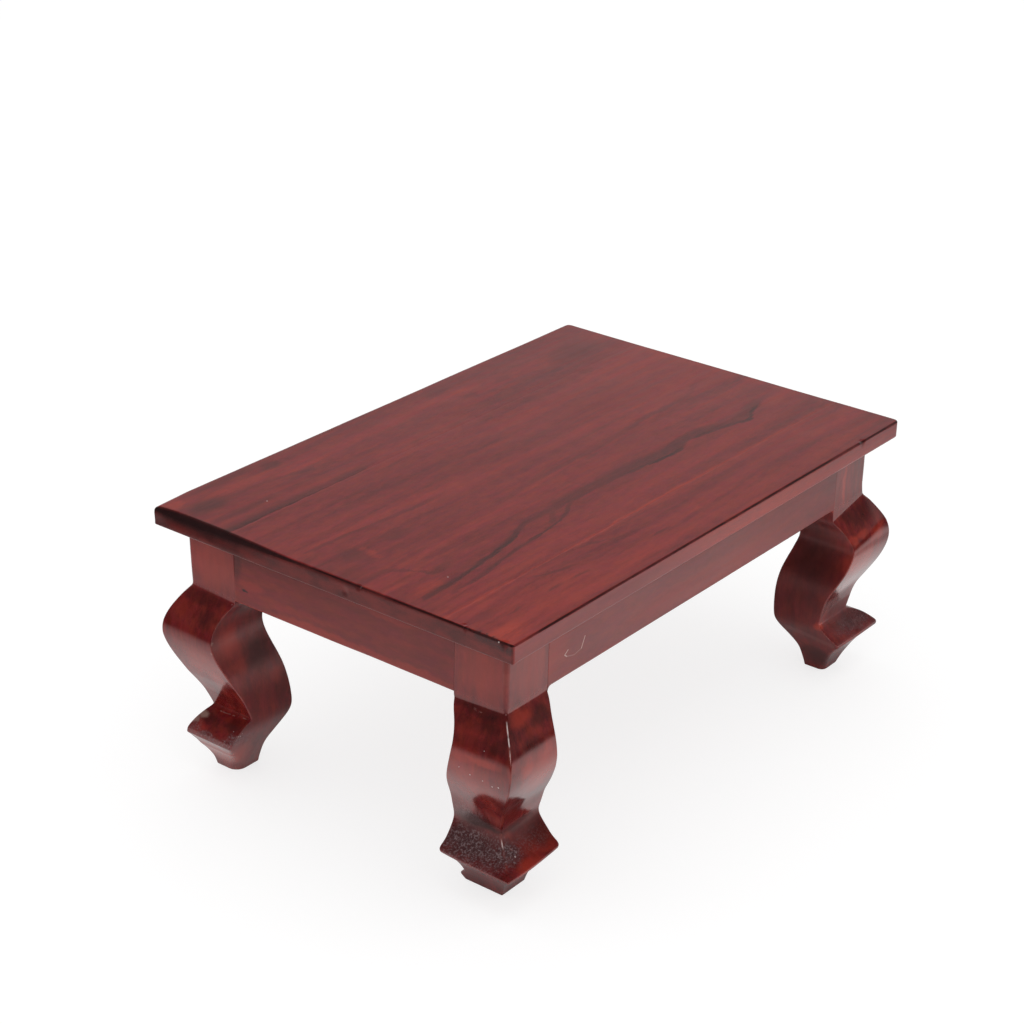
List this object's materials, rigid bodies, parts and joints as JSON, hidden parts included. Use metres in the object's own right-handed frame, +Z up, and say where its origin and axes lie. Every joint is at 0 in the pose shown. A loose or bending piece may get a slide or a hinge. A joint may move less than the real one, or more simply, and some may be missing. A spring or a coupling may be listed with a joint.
{
  "type": "bajot low table",
  "caption": "Low rectangular wooden table with a plain edge-glued board top, a shallow frame of rails and short S-curved square legs with outward-turned toes, stained red-brown and lacquered.",
  "frame": {"origin": "on the floor, under the middle of the top", "axes": "+X along the boards, to the right seen from the front rail; +Y from the front rail to the back rail; +Z up"},
  "size_m": [0.4604, 0.301, 0.199],
  "materials": {
    "top_wood": "red-brown stain under worn satin lacquer",
    "frame_wood": "red-brown stain under satin lacquer",
    "leg_wood": "dark red-brown stain under glossy lacquer",
    "block_wood": "sawn and unstained",
    "screw_steel": "dull"
  },
  "bodies": {
    "root": {"top_board_front": "top_wood", "top_board_middle": "top_wood", "top_board_back": "top_wood", "rail_front": "frame_wood", "rail_back": "frame_wood", "rail_left": "frame_wood", "rail_right": "frame_wood", "leg_front_left": "leg_wood", "leg_front_right": "leg_wood", "leg_back_left": "leg_wood", "leg_back_right": "leg_wood", "glue_block_front_left": "block_wood", "glue_block_front_right": "block_wood", "glue_block_right": "block_wood", "glue_block_back_right": "block_wood", "glue_block_back_left": "block_wood", "glue_block_left": "block_wood", "top_screws": "screw_steel"}
  },
  "joints": []
}
